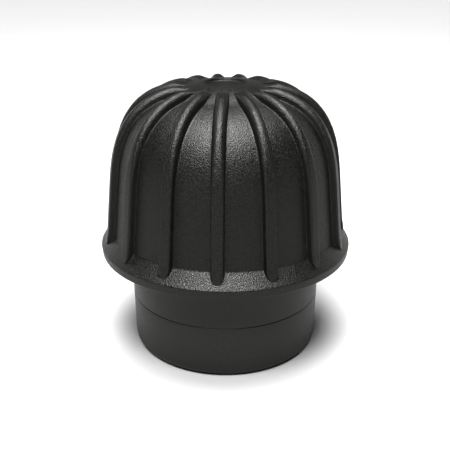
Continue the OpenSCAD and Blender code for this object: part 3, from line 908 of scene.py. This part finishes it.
def build_clip():
    """E-clip: three tongues that grip the stem's groove, with an open side at the back."""
    outer, inner, deep = 3.4, 1.1, 2.1
    tip_angle, start = 4, 110
    inside = []
    for span, radius in ((55, deep), (30, inner), (60, deep), (30, inner), (60, deep), (30, inner),
                         (55, deep)):
        inside += arc((0, 0), radius, start, start + span, 6)
        start += span
    outside = arc((0, 0), outer, start - tip_angle, 110 + tip_angle, 48)
    clip = extruded("e_clip", inside + outside, low("relief_clip"), high("relief_clip"), 0.08)
    finished(clip, "relief_clip", "spring_steel", "relief")


# ---- materials

def new_material(name):
    """A new material and its node tree."""
    material = bpy.data.materials.new(name)
    material.use_nodes = True
    return material, material.node_tree


def fill(tree, node, values):
    """Links each output among the values to the input of that name, and sets the others."""
    for key, value in values.items():
        if isinstance(value, bpy.types.NodeSocket):
            tree.links.new(value, node.inputs[key])
        elif key in node.inputs:
            node.inputs[key].default_value = value
        else:
            setattr(node, key, value)
    return node


def add(tree, kind, **values):
    """Adds a node and fills its inputs and settings."""
    return fill(tree, tree.nodes.new(kind), values)


def shaded(material, values):
    """The material, after its shader is filled."""
    fill(material.node_tree, material.node_tree.nodes["Principled BSDF"], values)
    return material


def object_place(tree):
    """Coordinates in the piece's own space."""
    return add(tree, "ShaderNodeTexCoord").outputs["Object"]


def noise(tree, place, scale, detail=2.0, roughness=0.5):
    """Noise with features of about 1 / scale metres, placed in the piece's own space."""
    return add(tree, "ShaderNodeTexNoise", Scale=scale, Detail=detail, Roughness=roughness,
               Vector=place).outputs["Fac"]


def mapped(tree, value, low_out, high_out, low_in=0.0, high_in=1.0):
    """value stretched from one range to another."""
    return add(tree, "ShaderNodeMapRange", **{
        "From Min": low_in, "From Max": high_in, "To Min": low_out, "To Max": high_out,
        "Value": value}).outputs["Result"]


def paired(tree, operation, first, second):
    """Two values combined by a Math node."""
    node = add(tree, "ShaderNodeMath", operation=operation)
    tree.links.new(first, node.inputs[0])
    tree.links.new(second, node.inputs[1])
    return node.outputs["Value"]


def tinted(tree, value, dark, light):
    """A colour between dark and light."""
    node = add(tree, "ShaderNodeMix", data_type="RGBA")
    colour = [s for s in node.inputs if s.type == "RGBA"]
    colour[0].default_value = (*dark, 1.0)
    colour[1].default_value = (*light, 1.0)
    tree.links.new(value, node.inputs[0])
    return [s for s in node.outputs if s.type == "RGBA"][0]


def bumped(tree, height, distance, strength, **normal):
    """A bump of the given depth in millimetres, on top of an earlier Normal if there is one."""
    return add(tree, "ShaderNodeBump", Strength=strength, Distance=distance * MM, Height=height,
               **normal).outputs["Normal"]


def pebbles(tree, place, size):
    """Rounded bumps of the given size in millimetres, packed at random."""
    return add(tree, "ShaderNodeTexVoronoi", feature="SMOOTH_F1", Scale=1 / (size * MM),
               Smoothness=0.4, Vector=place).outputs["Distance"]


def scratched(tree, place, stretch, scale):
    """Noise drawn out along an axis by stretch, for rolled or turned metal."""
    drawn = add(tree, "ShaderNodeMapping", Scale=stretch, Vector=place).outputs["Vector"]
    return noise(tree, drawn, scale, 3.0, 0.6)


def grained_plastic(name, dark, light, rough, grain, depth, specular):
    """Black moulded plastic with spark-eroded grain of the given size and depth in mm."""
    material, tree = new_material(name)
    place = object_place(tree)
    pits = pebbles(tree, place, grain)
    fine = noise(tree, place, 1 / (1.3 * grain * MM), 2.0, 0.6)
    cloud = noise(tree, place, 1 / (22 * MM), 2.0)
    speck = paired(tree, "MULTIPLY", mapped(tree, fine, 0.0, 1.2, 0.35, 0.65),
                   mapped(tree, cloud, 0.7, 1.0, 0.3, 0.7))
    return shaded(material, {
        "Base Color": tinted(tree, speck, dark, light),
        "Roughness": mapped(tree, fine, *rough, 0.35, 0.65),
        "Normal": bumped(tree, pits, depth, 1.0, Normal=bumped(tree, fine, 0.7 * depth, 1.0)),
        "Specular IOR Level": specular})


def sheet_metal(name, dark, light, rough, stretch, scratch, depth):
    """Metal with dull clouds, and fine marks of the given size in mm drawn out by stretch."""
    material, tree = new_material(name)
    place = object_place(tree)
    marks = scratched(tree, place, stretch, 1 / (scratch * MM))
    cloud = noise(tree, place, 1 / (7 * MM), 3.0)
    return shaded(material, {
        "Base Color": tinted(tree, mapped(tree, cloud, 0.0, 1.0, 0.3, 0.7), dark, light),
        "Roughness": paired(tree, "MULTIPLY", mapped(tree, marks, 0.8, 1.2, 0.3, 0.7),
                            mapped(tree, cloud, *rough, 0.3, 0.7)),
        "Normal": bumped(tree, marks, depth, 0.6),
        "Metallic": 1.0})


def rubber(name):
    """Matte black nitrile with a dusty bloom."""
    material, tree = new_material(name)
    place = object_place(tree)
    bloom = noise(tree, place, 1 / (3 * MM), 4.0, 0.6)
    fine = noise(tree, place, 1 / (0.15 * MM), 2.0)
    return shaded(material, {
        "Base Color": tinted(tree, mapped(tree, bloom, 0.0, 1.0, 0.35, 0.7),
                             (0.007, 0.007, 0.007), (0.017, 0.0165, 0.016)),
        "Roughness": mapped(tree, bloom, 0.5, 0.75, 0.3, 0.7),
        "Normal": bumped(tree, fine, 0.02, 0.6),
        "Specular IOR Level": 0.35})


def wool_felt(name):
    """Off-white felt: fibres lying in all directions, darker flecks, soft sheen."""
    material, tree = new_material(name)
    place = object_place(tree)
    lay = paired(tree, "MAXIMUM", scratched(tree, place, (1.0, 1.0, 5.0), 1 / (0.9 * MM)),
                 scratched(tree, place, (4.0, 4.0, 1.0), 1 / (0.9 * MM)))
    return shaded(material, {
        "Base Color": tinted(tree, mapped(tree, lay, 0.0, 1.0, 0.4, 0.75),
                             (0.38, 0.35, 0.29), (0.62, 0.59, 0.52)),
        "Normal": bumped(tree, lay, 0.3, 0.9),
        "Roughness": 0.95, "Specular IOR Level": 0.2, "Sheen Weight": 0.3, "Sheen Roughness": 0.5})


# ---- camera, floor and light

TARGET = (-0.1, 0.0, 42.49)  # where the camera looks
DISTANCE = 270.0  # how far it is from there
ELEVATION = 22.52  # in degrees above the horizon
AZIMUTH = 3.5  # in degrees to the right of the front
FOCAL_PX = 748.5  # focal length in pixels of a picture FRAME_PX wide
FRAME_PX = 450.0
CONTRAST = 0.76  # gamma of the view
WORLD = 0.07  # brightness of the surroundings overhead
HORIZON = 0.84  # and at the horizon
HAZE = 0.32  # how high the pale part reaches, as a share of the radius
PAPER = 0.385  # greyness of the floor
FLOOR_HALF = 30000.0
OVERHEAD = 6.6  # strength of the wide lamp above
KEY = 14.0  # power of the soft lights, in watts
FILL_LEFT = 1.4
EDGE_LEFT = 1.0
EDGE_RIGHT = 0.8


def placed(obj, aim, azimuth, elevation, distance):
    """Puts a camera or light at a distance from a point, facing it. Azimuth is from the front."""
    a, e = radians(azimuth), radians(elevation)
    back = Vector((sin(a) * cos(e), -cos(a) * cos(e), sin(e)))
    obj.location = (Vector(aim) + back * distance) * MM
    obj.rotation_mode = "QUATERNION"
    obj.rotation_quaternion = (-back).to_track_quat("-Z", "Y")
    bpy.context.scene.collection.objects.link(obj)
    return obj


def make_camera():
    """The camera at the photograph's angle."""
    data = bpy.data.cameras.new("camera")
    data.sensor_width = 36.0
    data.lens = data.sensor_width * FOCAL_PX / FRAME_PX
    data.clip_start, data.clip_end = 0.01, 100.0
    camera = bpy.data.objects.new("camera", data)
    bpy.context.scene.camera = placed(camera, TARGET, AZIMUTH, ELEVATION, DISTANCE)


def make_floor():
    """A wide pale sheet that the muffler stands on."""
    corners = [(x * FLOOR_HALF, y * FLOOR_HALF, 0) for x, y in ((-1, -1), (1, -1), (1, 1), (-1, 1))]
    floor = mesh_object("floor", corners, [(0, 1, 2, 3)])
    floor.data.materials.append(shaded(new_material("floor_paper")[0], {
        "Base Color": (PAPER, PAPER, PAPER, 1.0), "Roughness": 0.9, "Specular IOR Level": 0.1}))


def softbox(name, azimuth, elevation, distance, size, power, aim=(0, 0, 55)):
    """A rectangular soft light that faces the muffler."""
    data = bpy.data.lights.new(name, "AREA")
    data.shape = "RECTANGLE"
    data.size, data.size_y = size[0] * MM, size[1] * MM
    data.energy = power
    return placed(bpy.data.objects.new(name, data), aim, azimuth, elevation, distance)


def make_world():
    """Dim surroundings that turn pale near the horizon, so a low view shows a pale backdrop."""
    world = bpy.data.worlds.new("studio")
    world.use_nodes = True
    tree = world.node_tree
    ray = add(tree, "ShaderNodeTexCoord").outputs["Generated"]
    height = add(tree, "ShaderNodeSeparateXYZ", Vector=ray).outputs["Z"]
    fill(tree, tree.nodes["Background"], {
        "Color": (1.0, 1.0, 1.0, 1.0), "Strength": mapped(tree, height, HORIZON, WORLD, 0.0, HAZE)})
    bpy.context.scene.world = world


def make_light():
    """A wide lamp above and a little behind casts the soft shadow. The rest light the muffler."""
    data = bpy.data.lights.new("overhead", "SUN")
    data.energy = OVERHEAD
    data.angle = radians(36)
    lamp = bpy.data.objects.new("overhead", data)
    lamp.rotation_euler = (radians(-3), 0.0, 0.0)
    bpy.context.scene.collection.objects.link(lamp)
    softbox("key", -4, 59, 800, (400, 280), KEY)
    softbox("fill_left", -52, 50, 800, (300, 300), FILL_LEFT)
    softbox("edge_left", -128, 18, 700, (260, 520), EDGE_LEFT)
    softbox("edge_right", 132, 14, 700, (200, 520), EDGE_RIGHT)


# ---- the muffler

bpy.context.scene.view_settings.view_transform = "Standard"
bpy.context.scene.view_settings.gamma = CONTRAST
make_camera()
make_floor()
make_world()
make_light()

EVEN, ROLLED, TURNED = (1.0, 1.0, 1.0), (1.0, 1.0, 9.0), (1.0, 1.0, 8.0)
FINISHES = {
    "dome_plastic": grained_plastic("dome_black", (0.002, 0.002, 0.0018), (0.0112, 0.0114, 0.0096),
                               (0.28, 0.53), 0.36, 0.11, 0.41),
    "collar_plastic": grained_plastic("collar_black", (0.011, 0.011, 0.0095),
                                      (0.023, 0.023, 0.0195), (0.38, 0.56), 0.35, 0.02, 0.45),
    "seal_rubber": rubber("nitrile"),
}
for slot, *look in (
        ("stainless_sheet", "stainless", (0.46, 0.45, 0.43), (0.60, 0.59, 0.57), (0.24, 0.36),
         ROLLED, 0.5, 0.01),
        ("zinc_plate", "zinc", (0.50, 0.52, 0.55), (0.66, 0.67, 0.68), (0.26, 0.42),
         EVEN, 0.8, 0.01),
        ("spring_steel", "spring_wire", (0.30, 0.30, 0.31), (0.46, 0.46, 0.47), (0.22, 0.36),
         EVEN, 0.3, 0.01),
        ("knitted_wire", "knit_wire", (0.30, 0.29, 0.27), (0.52, 0.51, 0.48), (0.28, 0.42),
         EVEN, 0.4, 0.05),
        ("rivet_aluminium", "aluminium", (0.60, 0.60, 0.61), (0.74, 0.74, 0.75), (0.3, 0.42),
         EVEN, 0.4, 0.01),
        ("turned_brass", "brass", (0.52, 0.36, 0.14), (0.70, 0.52, 0.25), (0.18, 0.3),
         TURNED, 0.3, 0.006),
        ("screw_steel", "screw_zinc", (0.38, 0.38, 0.40), (0.54, 0.54, 0.56), (0.26, 0.4),
         EVEN, 0.3, 0.01)):
    FINISHES[slot] = sheet_metal(*look)
FINISHES["felt"] = wool_felt("felt")

for build in (build_dome, build_base_cup, build_body_ring, build_seals, build_inlet_screen,
              build_retaining_ring, build_screws, build_plates, build_tubes, build_knit, build_felt,
              build_bridge, build_rivets, build_spring, build_poppet, build_relief_seal, build_clip):
    build()
